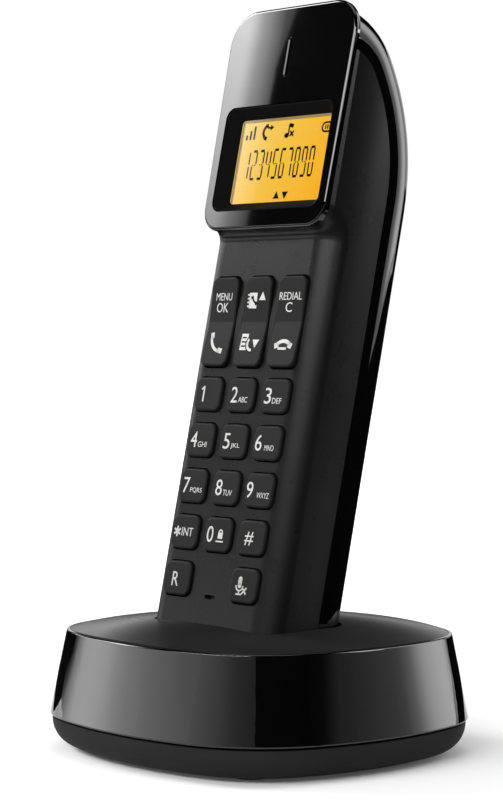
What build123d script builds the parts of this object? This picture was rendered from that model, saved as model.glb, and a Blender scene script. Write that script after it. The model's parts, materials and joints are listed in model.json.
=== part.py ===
"""Cordless phone: a handset standing in its charging base, as separate pieces in millimetres.

World frame: origin on the table under the middle of the base, +Z up, the keypad faces -Y.
Handset frame: x across the face, y up along the face from the heel, z out of the keypad face.
"""
import os
from math import cos, radians, sin

from build123d import *

# Base
base_width = 97.0
base_depth = 94.0
base_side_bulge = 9.0
base_corner_radius = 30.0
foot_height = 0.8
tray_height = 7.5
tray_edge_radius = 7.0
tray_step = 0.6
seam_groove = 0.5
seam_edge_radius = 0.35
band_height = 20.9
band_inset = 3.65
rim_lip = 0.6
rim_edge_radius = 0.4
rabbet_depth = 1.5
dome_rise = 3.2
base_wall = 2.2
tray_lip_height = 2.0
tray_lip_wall = 1.2

# Where the heel of the handset stands in the base, and how far the handset leans back
lean_angle = 12.1
heel_y = -19.4
heel_z = 23.4

# Handset shells
handset_length = 163.9
handset_width = 44.8
handset_back = 28.2
handset_wall = 2.0
fascia_seat = 2.3
chin_height = 107.4
front_edge_radius = 6.0
front_inner_radius = 1.2
rear_edge_radius = 8.5
rear_shell_depth = 11.7
back_crown = 1.2
bow_angle = 40.0
crown_radius = 22.0

# Display fascia and the stack of pieces behind it
fascia_top_width = 46.8
fascia_chin_width = 45.2
fascia_overhang = 0.9
fascia_thickness = 1.5
fascia_top_radius = 9.0
fascia_chin_radius = 6.0
fascia_edge_radius = 0.8
window_width = 39.6
window_height = 27.2
window_rise = 4.8
window_radius = 3.0
view_width = 33.0
view_height = 21.8
view_radius = 1.0
view_depth = 3.1
frame_sink = 0.3
frame_edge = 0.5
lens_border = 0.3
lens_thickness = 0.8
lcd_border = 0.8
lcd_thickness = 2.2
light_border = 1.6
ear_slit_length = 9.8
ear_slit_width = 0.9
ear_slit_height = 151.4
ear_slit_edge = 0.25
earpiece_diameter = 18.0
earpiece_thickness = 4.4

# Keypad
key_width = 9.9
key_height = 8.6
key_radius = 2.0
key_columns = 3
key_pitch_x = 12.44
key_pitch_y = 11.62
first_row = 66.0
key_stand = 0.8
key_flange = 0.7
key_flange_thickness = 0.8
key_travel = 0.8
key_gap = 0.3
key_edge_radius = 0.6
rocker_height = 22.8
rocker_middle = 84.5
rocker_stand = 1.2
rocker_valley = 0.3
rocker_trunnion = 5.0
rocker_gap = 0.45
rocker_edge_radius = 0.5
mat_thickness = 1.0
mat_rim = 0.7
mat_margin = 0.3
mic_height = 15.8
mic_slot_width = 3.8
mic_slot_height = 1.0
mic_diameter = 6.0

# Handset innards
board_thickness = 1.6
board_width = 38.0
board_low = 9.0
board_high = 140.5
shield_width = 24.0
shield_length = 20.0
shield_height = 2.6
ringer_diameter = 17.0
ringer_thickness = 3.6
ringer_gap = 4.85
ringer_slot_width = 1.4
ringer_slot_length = 11.0
ringer_slot_pitch = 3.0
ringer_slot_count = 4
cell_diameter = 10.5
cell_length = 44.5
cell_pitch = 10.9
cell_low = 30.6
cell_nub_diameter = 3.8
cell_nub_length = 0.8
cell_contact_size = 7.0
cell_contact_thickness = 0.4
cell_end_room = 0.9
cell_contact_bump = 0.7
bay_wall = 1.2
bay_gap = 0.25
pad_pitch = 14.0
pad_width = 4.6
pad_length = 7.0
pad_recess = 1.2
pad_thickness = 0.8
pad_middle = 8.6
housing_screw_x = 15.0
housing_screw_y = 103.2
housing_boss_diameter = 5.6
housing_boss_shoulder = 8.8
screw_diameter = 2.2
screw_head_diameter = 4.2
screw_head_height = 1.5
screw_length = 9.0
screw_grip = 4.0

# Battery door
door_width = 30.0
door_low = 24.0
door_high = 80.0
door_thickness = 1.5
door_gap = 0.25
door_stroke = 7.0
door_corner_radius = 3.0
ledge_margin = 2.4
ledge_thickness = 1.3
grip_count = 4
grip_pitch = 2.4
grip_width = 1.1
grip_length = 13.0
grip_depth = 0.5
grip_low = 5.0

# Cradle well in the base top
well_gap = 0.6
well_floor_gap = 0.2
well_wall = 1.8
contact_width = 3.0
contact_thickness = 0.5
contact_span = 4.0
contact_foot = 2.0
contact_arch_rise = 0.75
contact_gap = 0.15

# Base innards
base_board_width = 54.0
base_board_front_gap = 15.0
base_board_rear_gap = 11.0
base_board_height = 9.6
post_x = 33.0
post_y = 16.0
post_diameter = 7.0
standoff_x = 23.0
standoff_diameter = 5.0
foot_x = 27.0
foot_y = 26.0
foot_diameter = 10.0
foot_sink = 0.8
base_screw_diameter = 2.6
base_screw_head = 5.2
base_screw_head_height = 1.8
base_screw_length = 12.0
screw_cross_length = 3.0
screw_cross_width = 0.7
screw_cross_depth = 0.9
base_boss_diameter = 9.0
base_boss_height = 4.0
jack_x = 17.0
jack_depth = 14.0
jack_setback = 0.3
jack_window_gap = 0.3
line_jack_width = 13.0
line_plug_width = 9.8
power_jack_width = 10.6
power_plug_width = 7.7
jack_height = 11.6
plug_height = 6.8
plug_floor = 1.4
plug_reach = 10.0
latch_width = 3.4
latch_height = 1.8
base_shield_width = 26.0
base_shield_length = 20.0
base_shield_height = 3.2
page_cap_diameter = 9.0
page_cap_stand = 1.4
page_flange = 1.0
page_flange_thickness = 0.9
page_travel = 0.8
page_gap = 0.25
page_axis_height = 6.4
page_switch_width = 6.2
page_switch_depth = 3.6
page_switch_height = 9.4
page_plunger_diameter = 3.4
page_plunger_length = 1.2
page_edge_radius = 0.5
page_lean_room = 1.1
can_edge = 0.4

# Small working clearances
seam_gap = 0.2
fit_gap = 0.08
press_gap = 0.15

os.makedirs("parts", exist_ok=True)


def write(name, piece):
    piece.part.label = name
    export_step(piece.part, f"parts/{name}.step")


# Directions of the handset frame, seen from the world frame
across = Vector(1, 0, 0)
upward = Vector(0, sin(radians(lean_angle)), cos(radians(lean_angle)))
outward = Vector(0, -cos(radians(lean_angle)), sin(radians(lean_angle)))
heel = Vector(0, heel_y, heel_z)


def face_plane(out=0.0):
    """Parallel to the keypad face: sketches in x and y, extrudes out of the face."""
    return Plane(origin=heel + outward * out, x_dir=across, z_dir=outward)


def section_plane(up=0.0):
    """Square to the length of the handset: sketches in x and depth, extrudes upward."""
    return Plane(origin=heel + upward * up, x_dir=across, z_dir=upward)


side_plane = Plane(origin=heel, x_dir=upward, z_dir=across)

# Heights worked out from the base sizes
seam_z = foot_height + tray_height
band_low = seam_z + seam_groove
rim_z = band_low + band_height
base_board_top = base_board_height + board_thickness
base_board_front = base_board_front_gap - base_depth / 2
base_board_rear = base_depth / 2 - base_board_rear_gap

# Depths in the handset, measured out of the keypad face
seam_depth = rear_shell_depth - handset_back
fascia_front = fascia_seat + fascia_thickness
mat_top = -handset_wall - press_gap - key_flange_thickness - key_travel - press_gap
board_top = mat_top - mat_thickness
board_bottom = board_top - board_thickness
lens_top = fascia_front - view_depth
lcd_top = lens_top - lens_thickness
lcd_bottom = lcd_top - lcd_thickness
door_inside = door_thickness - handset_back
ledge_top = door_inside + door_gap
ledge_bottom = ledge_top + ledge_thickness
cell_axis = ledge_top + cell_diameter / 2
bay_floor = cell_axis + cell_diameter / 2 + bay_gap

# The back runs straight, bows forward, then rolls over the top to meet the fascia
back_depth = handset_back + fascia_seat
bow_radius = (back_depth - crown_radius * cos(radians(bow_angle))) / (1 - cos(radians(bow_angle)))
bow_rise = bow_radius * sin(radians(bow_angle)) + crown_radius * (1 - sin(radians(bow_angle)))
bow_start = handset_length - bow_rise

# Display places
window_middle = chin_height + window_rise + window_height / 2
fascia_top = handset_length + fascia_overhang
lens_width = window_width + 2 * lens_border
lens_height = window_height + 2 * lens_border

# Screw posts, charging pads and ringer
screw_places = Locations((-housing_screw_x, housing_screw_y), (housing_screw_x, housing_screw_y))
boss_meet = seam_depth
screw_seat = boss_meet - screw_grip
pad_places = Locations((-pad_pitch / 2, pad_middle), (pad_pitch / 2, pad_middle))
ringer_drop = back_crown * (ringer_diameter / 2) ** 2 / (handset_width / 2 - handset_wall) ** 2
ringer_face = handset_wall - handset_back + ringer_drop + fit_gap

# Key places by name: digits in rows of three, then recall and mute in the last row
key_names = ["key_1", "key_2", "key_3", "key_4", "key_5", "key_6", "key_7", "key_8", "key_9",
             "key_star", "key_0", "key_hash", "key_recall", None, "key_mute"]
key_rows = len(key_names) // key_columns
key_places = {}
for index, name in enumerate(key_names):
    if name:
        column = index % key_columns - key_columns // 2
        row = index // key_columns
        key_places[name] = (column * key_pitch_x, first_row - row * key_pitch_y)
rocker_places = {
    "rocker_left": (-key_pitch_x, rocker_middle),
    "rocker_middle": (0, rocker_middle),
    "rocker_right": (key_pitch_x, rocker_middle),
}


# Base tray, band and top share one outline: four bulged sides with round corners
def base_outline(inset):
    half_x = base_width / 2 - inset
    half_y = base_depth / 2 - inset
    corner_x = half_x - base_side_bulge
    corner_y = half_y - base_side_bulge
    with BuildSketch() as outline:
        with BuildLine():
            ThreePointArc((-corner_x, -corner_y), (0, -half_y), (corner_x, -corner_y))
            ThreePointArc((corner_x, -corner_y), (half_x, 0), (corner_x, corner_y))
            ThreePointArc((corner_x, corner_y), (0, half_y), (-corner_x, corner_y))
            ThreePointArc((-corner_x, corner_y), (-half_x, 0), (-corner_x, -corner_y))
        make_face()
        fillet(outline.vertices(), base_corner_radius - inset)
    return outline.sketch


def band_inset_at(z):
    return band_inset * (z - band_low) / band_height


foot_places = GridLocations(2 * foot_x, 2 * foot_y, 2, 2)
post_places = GridLocations(2 * post_x, 2 * post_y, 2, 2)
standoff_span = base_board_rear - base_board_front - 2 * standoff_diameter
board_middle_y = (base_board_rear + base_board_front) / 2
lip_inset = base_wall + band_inset_at(band_low + tray_lip_height) + fit_gap

with BuildPart() as tray_hollow:
    with BuildSketch(Plane.XY.offset(foot_height + base_wall)):
        add(base_outline(lip_inset + tray_lip_wall))
    extrude(amount=tray_height + tray_lip_height)
    fillet(tray_hollow.faces().sort_by(Axis.Z)[0].edges(), tray_edge_radius - base_wall)

with BuildPart() as base_tray:
    with BuildSketch(Plane.XY.offset(foot_height)):
        add(base_outline(tray_step))
    extrude(amount=tray_height)
    fillet(base_tray.faces().sort_by(Axis.Z)[-1].edges(), seam_edge_radius)
    fillet(base_tray.faces().sort_by(Axis.Z)[0].edges(), tray_edge_radius)
    with BuildSketch(Plane.XY.offset(seam_z - base_wall)):
        add(base_outline(lip_inset))
    extrude(amount=base_wall + seam_groove + tray_lip_height)
    add(tray_hollow.part, mode=Mode.SUBTRACT)
    with BuildSketch(Plane.XY.offset(foot_height)):
        with post_places:
            Circle(base_boss_diameter / 2)
    extrude(amount=base_boss_height)
    with BuildSketch(Plane.XY.offset(foot_height + base_wall)):
        with Locations((0, board_middle_y)):
            with GridLocations(2 * standoff_x, standoff_span, 2, 2):
                Circle(standoff_diameter / 2)
    extrude(amount=base_board_height - foot_height - base_wall)
    with BuildSketch(Plane.XY.offset(foot_height)):
        with foot_places:
            Circle(foot_diameter / 2 + fit_gap)
    extrude(amount=foot_sink, mode=Mode.SUBTRACT)
    with BuildSketch(Plane.XY.offset(foot_height)):
        with post_places:
            Circle(base_screw_head / 2 + press_gap)
    extrude(amount=base_screw_head_height + press_gap, mode=Mode.SUBTRACT)
    with BuildSketch(Plane.XY.offset(foot_height)):
        with post_places:
            Circle(base_screw_diameter / 2 + press_gap)
    extrude(amount=base_boss_height, mode=Mode.SUBTRACT)
write("base_tray", base_tray)

with BuildPart() as rubber_feet:
    with BuildSketch():
        with foot_places:
            Circle(foot_diameter / 2)
    extrude(amount=foot_height + foot_sink)
    chamfer(rubber_feet.faces().group_by(Axis.Z)[0].edges(), foot_height / 2)
write("rubber_feet", rubber_feet)

# Rear sockets and the page button share the middle of the back wall
jack_top = base_board_top + jack_height
jack_reach = (jack_x + line_jack_width / 2) / (base_width / 2 - base_side_bulge)
jack_corner_drop = base_side_bulge * jack_reach ** 2
jack_face = base_depth / 2 - band_inset_at(jack_top) - jack_corner_drop - jack_setback
jack_back = jack_face - jack_depth
page_z = base_board_top + page_axis_height
page_wall = base_depth / 2 - band_inset_at(page_z)

with BuildPart() as base_band:
    with BuildSketch(Plane.XY.offset(band_low)):
        add(base_outline(0))
    with BuildSketch(Plane.XY.offset(rim_z)):
        add(base_outline(band_inset))
    loft(ruled=True)
    fillet(base_band.faces().sort_by(Axis.Z)[-1].edges(), rim_edge_radius)
    fillet(base_band.faces().sort_by(Axis.Z)[0].edges(), seam_edge_radius)
    with BuildSketch(Plane.XY.offset(band_low)):
        add(base_outline(base_wall))
    with BuildSketch(Plane.XY.offset(rim_z)):
        add(base_outline(band_inset + base_wall))
    loft(ruled=True, mode=Mode.SUBTRACT)
    with BuildSketch(Plane.XY.offset(rim_z - rabbet_depth)):
        add(base_outline(band_inset + rim_lip))
    extrude(amount=2 * rabbet_depth, mode=Mode.SUBTRACT)
    for place, width in ((jack_x, line_jack_width), (-jack_x, power_jack_width)):
        with BuildSketch(Plane.XZ.offset(-jack_back)):
            with Locations((place, base_board_top + jack_height / 2)):
                Rectangle(width + 2 * jack_window_gap, jack_height + 2 * jack_window_gap)
        extrude(amount=jack_back - base_depth / 2, mode=Mode.SUBTRACT)
    with BuildSketch(Plane.XZ.offset(-jack_back)):
        with Locations((0, page_z)):
            Circle(page_cap_diameter / 2 + page_gap)
    extrude(amount=jack_back - base_depth / 2, mode=Mode.SUBTRACT)
write("base_band", base_band)


# The cradle well follows the handset's own section with a gap all round
def handset_section(grow):
    half = handset_width / 2 + grow
    with BuildSketch() as section:
        with BuildLine():
            Polyline((half, -grow), (half, handset_back + grow), (-half, handset_back + grow),
                     (-half, -grow), close=True)
        make_face()
        fillet(section.vertices().group_by(Axis.Y)[-1], rear_edge_radius + grow)
        fillet(section.vertices().group_by(Axis.Y)[0], front_edge_radius + grow)
    return section.sketch


top_inset = band_inset + rim_lip + fit_gap
corner_reach = max(vertex.center().length for vertex in base_outline(top_inset).vertices())
dome_radius = (corner_reach ** 2 + dome_rise ** 2) / (2 * dome_rise)
dome_centre = rim_z + dome_rise - dome_radius
well_floor = -well_floor_gap
well_low = well_floor - well_wall
well_run = 2 * (band_height + dome_rise)
post_low = foot_height + base_boss_height

with BuildPart() as base_top:
    with BuildSketch(Plane.XY.offset(rim_z - rabbet_depth)):
        add(base_outline(top_inset))
    extrude(amount=rabbet_depth + dome_rise)
    with BuildSketch(section_plane(well_low)):
        add(handset_section(well_gap + well_wall))
    extrude(amount=well_run)
    with BuildSketch(Plane.XY.offset(post_low)):
        with post_places:
            Circle(post_diameter / 2)
    extrude(amount=rim_z - post_low)
    with Locations((0, 0, dome_centre)):
        Sphere(dome_radius, mode=Mode.INTERSECT)
    with BuildSketch(section_plane(well_floor)):
        add(handset_section(well_gap))
    extrude(amount=well_run, mode=Mode.SUBTRACT)
    with BuildSketch(section_plane(well_low)):
        with Locations((0, pad_middle)):
            with GridLocations(pad_pitch, 1, 2, 1):
                Rectangle(contact_width + 2 * key_gap, contact_span + 2 * key_gap)
    extrude(amount=well_wall, mode=Mode.SUBTRACT)
    with BuildSketch(Plane.XY.offset(post_low)):
        with post_places:
            Circle(base_screw_diameter / 2 + fit_gap)
    extrude(amount=base_screw_length, mode=Mode.SUBTRACT)
write("base_top", base_top)

with BuildPart() as base_screws:
    with BuildSketch(Plane.XY.offset(foot_height + press_gap)):
        with post_places:
            Circle(base_screw_head / 2)
    extrude(amount=base_screw_head_height)
    with BuildSketch(Plane.XY.offset(foot_height + press_gap)):
        with post_places:
            Circle(base_screw_diameter / 2)
    extrude(amount=base_screw_length)
    for place in post_places:
        with BuildSketch(Plane.XY.offset(foot_height + press_gap)):
            with Locations(place):
                Rectangle(screw_cross_length, screw_cross_width)
                Rectangle(screw_cross_width, screw_cross_length)
        extrude(amount=screw_cross_depth, mode=Mode.SUBTRACT)
write("base_screws", base_screws)

# Charging contacts: sprung arches that stand up through the well floor to the handset's pads
arch_top = pad_recess - contact_gap
arch_shoulder = arch_top - contact_thickness - contact_arch_rise
arch_foot = well_low - contact_thickness / 2
arch_half = contact_span / 2 - contact_thickness
with BuildPart() as charge_contacts:
    for place in (-pad_pitch / 2, pad_pitch / 2):
        with BuildSketch(Plane(origin=heel + across * place, x_dir=upward, z_dir=across)):
            with BuildLine():
                Polyline((arch_foot, -pad_middle - arch_half - contact_foot),
                         (arch_foot, -pad_middle - arch_half),
                         (arch_shoulder, -pad_middle - arch_half))
                ThreePointArc((arch_shoulder, -pad_middle - arch_half),
                              (arch_top - contact_thickness / 2, -pad_middle),
                              (arch_shoulder, -pad_middle + arch_half))
                Polyline((arch_shoulder, -pad_middle + arch_half),
                         (arch_foot, -pad_middle + arch_half),
                         (arch_foot, -pad_middle + arch_half + contact_foot))
                offset(amount=contact_thickness / 2)
            make_face()
        extrude(amount=contact_width / 2, both=True)
write("charge_contacts", charge_contacts)

# Board of the base on its standoffs, with the radio can, the page switch and the sockets
with BuildPart() as base_board:
    with BuildSketch(Plane.XY.offset(base_board_height)):
        with Locations((0, board_middle_y)):
            Rectangle(base_board_width, base_board_rear - base_board_front)
    extrude(amount=board_thickness)
write("base_board", base_board)

with BuildPart() as base_radio_can:
    with BuildSketch(Plane.XY.offset(base_board_top)):
        with Locations((0, base_board_front + base_shield_length)):
            Rectangle(base_shield_width, base_shield_length)
    extrude(amount=base_shield_height)
    chamfer(base_radio_can.faces().sort_by(Axis.Z)[-1].edges(), can_edge)
write("base_radio_can", base_radio_can)

page_cap_face = page_wall + page_cap_stand
page_flange_face = page_wall - base_wall - page_gap - page_lean_room
page_stem_end = page_flange_face - page_flange_thickness
switch_face = page_stem_end - page_travel - press_gap - page_plunger_length

with BuildPart() as page_button:
    with BuildSketch(Plane.XZ.offset(-page_cap_face)):
        with Locations((0, page_z)):
            Circle(page_cap_diameter / 2)
    extrude(amount=page_cap_face - page_flange_face)
    fillet(page_button.faces().sort_by(Axis.Y)[-1].edges(), page_edge_radius)
    with BuildSketch(Plane.XZ.offset(-page_flange_face)):
        with Locations((0, page_z)):
            Circle(page_cap_diameter / 2 + page_flange)
    extrude(amount=page_flange_thickness)
write("page_button", page_button)

with BuildPart() as page_switch:
    with BuildSketch(Plane.XY.offset(base_board_top)):
        with Locations((0, switch_face - page_switch_depth / 2)):
            Rectangle(page_switch_width, page_switch_depth)
    extrude(amount=page_switch_height)
    with BuildSketch(Plane.XZ.offset(-switch_face)):
        with Locations((0, page_z)):
            Circle(page_plunger_diameter / 2)
    extrude(amount=-page_plunger_length)
write("page_switch", page_switch)


def modular_jack(name, place, width, plug_width):
    """A moulded socket block with a plug cavity and a stepped slot for the plug's latch."""
    with BuildPart() as jack:
        with BuildSketch(Plane.XY.offset(base_board_top)):
            with Locations((place, jack_back + jack_depth / 2)):
                Rectangle(width, jack_depth)
        extrude(amount=jack_height)
        with BuildSketch(Plane.XZ.offset(-jack_face)):
            with Locations((place, base_board_top + plug_floor + plug_height / 2)):
                Rectangle(plug_width, plug_height)
            with Locations((place, base_board_top + plug_floor + plug_height + latch_height / 2)):
                Rectangle(latch_width, latch_height)
        extrude(amount=plug_reach, mode=Mode.SUBTRACT)
    write(name, jack)


modular_jack("line_jack", jack_x, line_jack_width, line_plug_width)
modular_jack("power_jack", -jack_x, power_jack_width, power_plug_width)


# Rear shell: a channel with round corners, swept up the back and over the top
def rear_outline(inset):
    half = handset_width / 2 - inset
    middle = handset_back - inset
    shoulder = middle - back_crown
    with BuildSketch() as outline:
        with BuildLine():
            ThreePointArc((half, shoulder), (0, middle), (-half, shoulder))
            Polyline((-half, shoulder), (-half, -seam_depth), (half, -seam_depth), (half, shoulder))
        make_face()
        fillet(outline.vertices().group_by(Axis.Y)[-1], rear_edge_radius - inset)
    return outline.sketch


door_middle = (door_low + door_high) / 2
doorway_low = door_low - door_stroke - door_gap
doorway_high = door_high + door_gap
doorway_middle = (doorway_low + doorway_high) / 2
doorway_length = doorway_high - doorway_low
bay_width = cell_pitch + cell_diameter + 2 * bay_gap
bay_low = cell_low - cell_end_room - cell_contact_thickness
bay_high = cell_low + cell_length + cell_end_room + cell_contact_thickness
bay_length = bay_high - bay_low
bay_middle = (bay_low + bay_high) / 2
ringer_height = doorway_high + ledge_margin + ringer_gap + ringer_diameter / 2

with BuildPart() as rear_housing:
    with BuildLine(side_plane) as back_line:
        spine = Line((0, -handset_back), (bow_start, -handset_back))
        bow = JernArc(spine @ 1, spine % 1, bow_radius, bow_angle)
        JernArc(bow @ 1, bow % 1, crown_radius, 90 - bow_angle)
    with BuildSketch(section_plane()):
        add(rear_outline(0))
        add(rear_outline(handset_wall), mode=Mode.SUBTRACT)
    sweep(path=back_line.line)
    with BuildSketch(section_plane()):
        add(rear_outline(0))
    extrude(amount=handset_wall)
    with BuildSketch(face_plane(ledge_bottom)):
        with Locations((0, doorway_middle)):
            Rectangle(door_width + 2 * ledge_margin, doorway_length + 2 * ledge_margin)
    extrude(amount=ledge_top - ledge_bottom)
    with BuildSketch(face_plane(ledge_bottom)):
        with Locations((0, bay_middle)):
            Rectangle(bay_width + 2 * bay_wall, bay_length + 2 * bay_wall)
    extrude(amount=bay_floor + bay_wall - ledge_bottom)
    with BuildSketch(face_plane(ledge_top)):
        with Locations((0, doorway_middle)):
            RectangleRounded(door_width + 2 * door_gap, doorway_length, door_corner_radius)
    extrude(amount=-handset_back, mode=Mode.SUBTRACT)
    with BuildSketch(face_plane(bay_floor)):
        with Locations((0, bay_middle)):
            Rectangle(bay_width, bay_length)
    extrude(amount=-handset_back, mode=Mode.SUBTRACT)
    with BuildSketch(face_plane(boss_meet - seam_gap)):
        with screw_places:
            Circle(housing_boss_diameter / 2)
    extrude(amount=handset_wall - handset_back - boss_meet)
    with BuildSketch(face_plane(screw_seat)):
        with screw_places:
            Circle(screw_head_diameter / 2 + press_gap)
    extrude(amount=-handset_back, mode=Mode.SUBTRACT)
    with BuildSketch(face_plane(screw_seat)):
        with screw_places:
            Circle(screw_diameter / 2 + press_gap)
    extrude(amount=boss_meet - screw_seat, mode=Mode.SUBTRACT)
    with BuildSketch(face_plane(ringer_face)):
        with Locations((0, ringer_height)):
            with GridLocations(1, ringer_slot_pitch, 1, ringer_slot_count):
                SlotOverall(ringer_slot_length, ringer_slot_width)
    extrude(amount=-handset_back, mode=Mode.SUBTRACT)
write("rear_housing", rear_housing)

with BuildPart() as battery_door:
    with BuildSketch(section_plane(door_low)):
        add(rear_outline(0))
    extrude(amount=door_high - door_low)
    with BuildSketch(face_plane(door_inside)):
        with Locations((0, door_middle)):
            RectangleRounded(door_width, door_high - door_low, door_corner_radius - door_gap)
    extrude(amount=-handset_back, mode=Mode.INTERSECT)
    with BuildSketch(face_plane(grip_depth - handset_back)):
        with Locations((0, door_low + grip_low + grip_pitch * (grip_count - 1) / 2)):
            with GridLocations(1, grip_pitch, 1, grip_count):
                SlotOverall(grip_length, grip_width)
    extrude(amount=-handset_wall, mode=Mode.SUBTRACT)
write("battery_door", battery_door)

# Front shell: keypad face, hollow chin and the seat of the fascia in one side profile
seam_offset = rear_shell_depth + seam_gap
key_hole_width = key_width + 2 * key_gap


def chin_and_face_edge(edge):
    """Long front edges of the front shell, up to where the chin ends under the fascia."""
    place = side_plane.to_local_coords(edge.center())
    on_side = abs(abs(place.Z) - handset_width / 2) < fit_gap
    return on_side and place.Y > -fit_gap and place.X < chin_height


def hollow_under_keys(face):
    """The wall of the hollow right behind the keypad face."""
    return abs(side_plane.to_local_coords(face.center()).Y + handset_wall) < fit_gap


with BuildPart() as front_hollow:
    with BuildSketch(side_plane):
        with BuildLine():
            Polyline((handset_wall, -handset_wall),
                     (chin_height + handset_wall, -handset_wall),
                     (chin_height + handset_wall, fascia_seat - handset_wall),
                     (handset_length, fascia_seat - handset_wall),
                     (handset_length, -handset_back),
                     (handset_wall, -handset_back), close=True)
        make_face()
    extrude(amount=handset_width / 2 - handset_wall, both=True)
    hollow_face = front_hollow.faces().filter_by(hollow_under_keys)
    fillet(hollow_face.edges().filter_by(Axis(heel, upward)), front_inner_radius)

with BuildPart() as front_housing:
    with BuildSketch(side_plane):
        with BuildLine():
            face_line = Line((0, 0), (chin_height - fascia_seat, 0))
            chin = JernArc(face_line @ 1, face_line % 1, fascia_seat, 90)
            seam_line = Line((0, seam_offset - handset_back), (bow_start, seam_offset - handset_back))
            seam_bow = JernArc(seam_line @ 1, seam_line % 1, bow_radius - seam_offset, bow_angle)
            seam_top = JernArc(seam_bow @ 1, seam_bow % 1, crown_radius - seam_offset, 90 - bow_angle)
            Line(chin @ 1, seam_top @ 1)
            Line(seam_line @ 0, face_line @ 0)
        make_face()
    extrude(amount=handset_width / 2, both=True)
    fillet(front_housing.edges().filter_by(chin_and_face_edge), front_edge_radius)
    add(front_hollow.part, mode=Mode.SUBTRACT)
    with BuildSketch(face_plane(-handset_wall)):
        with screw_places:
            Circle(housing_boss_shoulder / 2)
    extrude(amount=board_top + handset_wall)
    with BuildSketch(face_plane(-handset_wall)):
        with screw_places:
            Circle(housing_boss_diameter / 2)
    extrude(amount=boss_meet + handset_wall)
    with BuildSketch(face_plane(boss_meet)):
        with screw_places:
            Circle(screw_diameter / 2 + fit_gap)
    extrude(amount=screw_seat + screw_length + press_gap - boss_meet, mode=Mode.SUBTRACT)
    with BuildSketch(face_plane()):
        for place in key_places.values():
            with Locations(place):
                RectangleRounded(key_hole_width, key_height + 2 * key_gap, key_radius + key_gap)
        for place in rocker_places.values():
            with Locations(place):
                RectangleRounded(key_hole_width, rocker_height + 2 * rocker_gap, key_radius + key_gap)
        with Locations((0, mic_height)):
            SlotOverall(mic_slot_width, mic_slot_height)
    extrude(amount=-handset_wall, mode=Mode.SUBTRACT)
    with BuildSketch(face_plane(fascia_seat)):
        with Locations((0, window_middle)):
            Rectangle(lens_width + 2 * fit_gap, lens_height + 2 * fit_gap)
        with Locations((0, ear_slit_height)):
            Circle(earpiece_diameter / 2 + fit_gap)
    extrude(amount=-handset_wall, mode=Mode.SUBTRACT)
    with BuildSketch(section_plane()):
        with pad_places:
            Rectangle(pad_width + 2 * fit_gap, pad_length + 2 * fit_gap)
    extrude(amount=handset_wall, mode=Mode.SUBTRACT)
write("front_housing", front_housing)


def ear_slit_rim(edge):
    """The edges of the ear slit in the front of the fascia."""
    place = face_plane(fascia_front).to_local_coords(edge.center())
    in_slit = abs(place.X) < ear_slit_width and abs(place.Y - ear_slit_height) < ear_slit_length
    return in_slit and abs(place.Z) < fit_gap


with BuildPart() as display_fascia:
    with BuildSketch(face_plane(fascia_seat)) as fascia_outline:
        with BuildLine():
            Polyline((-fascia_chin_width / 2, chin_height), (fascia_chin_width / 2, chin_height),
                     (fascia_top_width / 2, fascia_top), (-fascia_top_width / 2, fascia_top), close=True)
        make_face()
        fillet(fascia_outline.vertices().group_by(Axis.Y)[-1], fascia_top_radius)
        fillet(fascia_outline.vertices().group_by(Axis.Y)[0], fascia_chin_radius)
    extrude(amount=fascia_thickness)
    fillet(display_fascia.faces().sort_by(Axis(heel, outward))[-1].edges(), fascia_edge_radius)
    with BuildSketch(face_plane(fascia_seat)):
        with Locations((0, window_middle)):
            RectangleRounded(window_width, window_height, window_radius)
        with Locations((0, ear_slit_height)):
            SlotOverall(ear_slit_length, ear_slit_width, rotation=90)
    extrude(amount=fascia_thickness, mode=Mode.SUBTRACT)
    chamfer(display_fascia.edges().filter_by(ear_slit_rim), ear_slit_edge)
write("display_fascia", display_fascia)

# Sloped matt frame inside the fascia's window, then the clear lens, the cell and its light
with BuildPart() as window_frame:
    with BuildSketch(face_plane(lens_top)):
        with Locations((0, window_middle)):
            RectangleRounded(window_width - 2 * fit_gap, window_height - 2 * fit_gap,
                             window_radius - fit_gap)
    extrude(amount=view_depth - frame_sink)
    with BuildSketch(face_plane(lens_top)):
        with Locations((0, window_middle)):
            RectangleRounded(view_width, view_height, view_radius)
    with BuildSketch(face_plane(fascia_front - frame_sink)):
        with Locations((0, window_middle)):
            RectangleRounded(window_width - 2 * frame_edge, window_height - 2 * frame_edge,
                             window_radius - frame_edge)
    loft(mode=Mode.SUBTRACT)
write("window_frame", window_frame)

with BuildPart() as display_lens:
    with BuildSketch(face_plane(lcd_top)):
        with Locations((0, window_middle)):
            Rectangle(lens_width, lens_height)
    extrude(amount=lens_thickness)
write("display_lens", display_lens)

with BuildPart() as lcd_cell:
    with BuildSketch(face_plane(lcd_bottom)):
        with Locations((0, window_middle)):
            Rectangle(lens_width - 2 * lcd_border, lens_height - 2 * lcd_border)
    extrude(amount=lcd_thickness)
write("lcd_cell", lcd_cell)

with BuildPart() as lcd_backlight:
    with BuildSketch(face_plane(board_top)):
        with Locations((0, window_middle)):
            Rectangle(lens_width - 2 * light_border, lens_height - 2 * light_border)
    extrude(amount=lcd_bottom - board_top)
write("lcd_backlight", lcd_backlight)

with BuildPart() as handset_board:
    with BuildSketch(face_plane(board_bottom)):
        with Locations((0, (board_low + board_high) / 2)):
            Rectangle(board_width, board_high - board_low)
        with screw_places:
            Circle(housing_boss_diameter / 2 + press_gap, mode=Mode.SUBTRACT)
    extrude(amount=board_thickness)
write("handset_board", handset_board)

with BuildPart() as handset_radio_can:
    with BuildSketch(face_plane(board_bottom)):
        with Locations((0, window_middle)):
            Rectangle(shield_width, shield_length)
    extrude(amount=-shield_height)
    chamfer(handset_radio_can.faces().sort_by(Axis(heel, outward))[0].edges(), can_edge)
write("handset_radio_can", handset_radio_can)

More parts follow.
